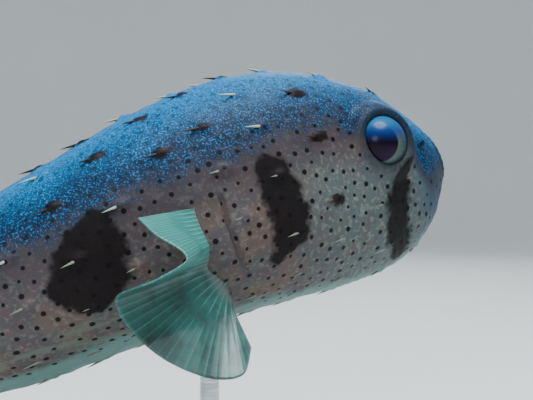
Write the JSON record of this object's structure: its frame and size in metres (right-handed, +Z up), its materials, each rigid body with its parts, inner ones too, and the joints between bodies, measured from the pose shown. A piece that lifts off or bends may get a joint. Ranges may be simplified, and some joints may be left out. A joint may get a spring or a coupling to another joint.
{
  "type": "porcupine pufferfish display model",
  "caption": "Life-size spotted and barred pufferfish with short spines, shown swimming head-up on a rod above an oval base.",
  "frame": {"origin": "centre of the oval base's flat underside, on the surface it stands on", "axes": "+X the way the fish swims (its long axis runs along X, head raised), +Y towards its left side, +Z up"},
  "size_m": [0.3461, 0.1744, 0.2079],
  "materials": {
    "skin": "damp satin skin, slate-blue back, grey-brown flanks, pale belly, dark bars and round black spots",
    "fin": "thin translucent greenish fin membrane with rays",
    "eyeball": "clear wet cornea over a dark pupil and a pale iris ring",
    "tooth": "smooth cream beak plate",
    "wood": "dark stained wood, satin",
    "steel": "brushed"
  },
  "bodies": {
    "root": {"head": "skin", "trunk": "skin", "tail_stalk": "skin", "nostril_right": "skin", "nostril_left": "skin", "dorsal_fin": "fin", "anal_fin": "fin", "caudal_fin": "fin", "pectoral_fin_right": "fin", "pectoral_fin_left": "fin", "eye_right": "eyeball", "eye_left": "eyeball", "tooth_plate_upper": "tooth", "tooth_plate_lower": "tooth", "stand_base": "wood", "stand_rod": "steel", "stand_collar": "steel"}
  },
  "joints": []
}
